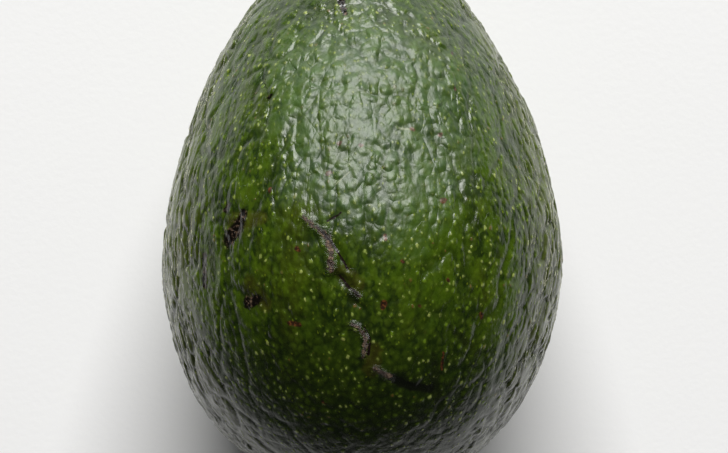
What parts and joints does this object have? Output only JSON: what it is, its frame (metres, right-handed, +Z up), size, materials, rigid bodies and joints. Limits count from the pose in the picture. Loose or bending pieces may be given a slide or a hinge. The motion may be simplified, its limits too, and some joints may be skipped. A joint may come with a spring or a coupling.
{
  "type": "avocado",
  "caption": "Whole fresh avocado with green pebbled skin and a woody stem button, lying on its side on a small flat spot.",
  "frame": {"origin": "under the middle of the fruit's box, on the surface that it lies on", "axes": "+Z up, +Y towards the stem end, +X to the right when seen from above with the stem end away from the viewer"},
  "size_m": [0.0684, 0.098, 0.0679],
  "materials": {
    "skin": "waxy pebbled green skin with a soft sheen, paler dots on the pebbles and brown corky scars",
    "stem_wood": "dry, rough, brown stub of the stalk"
  },
  "bodies": {
    "root": {"fruit": "skin", "stem_button": "stem_wood"}
  },
  "joints": []
}
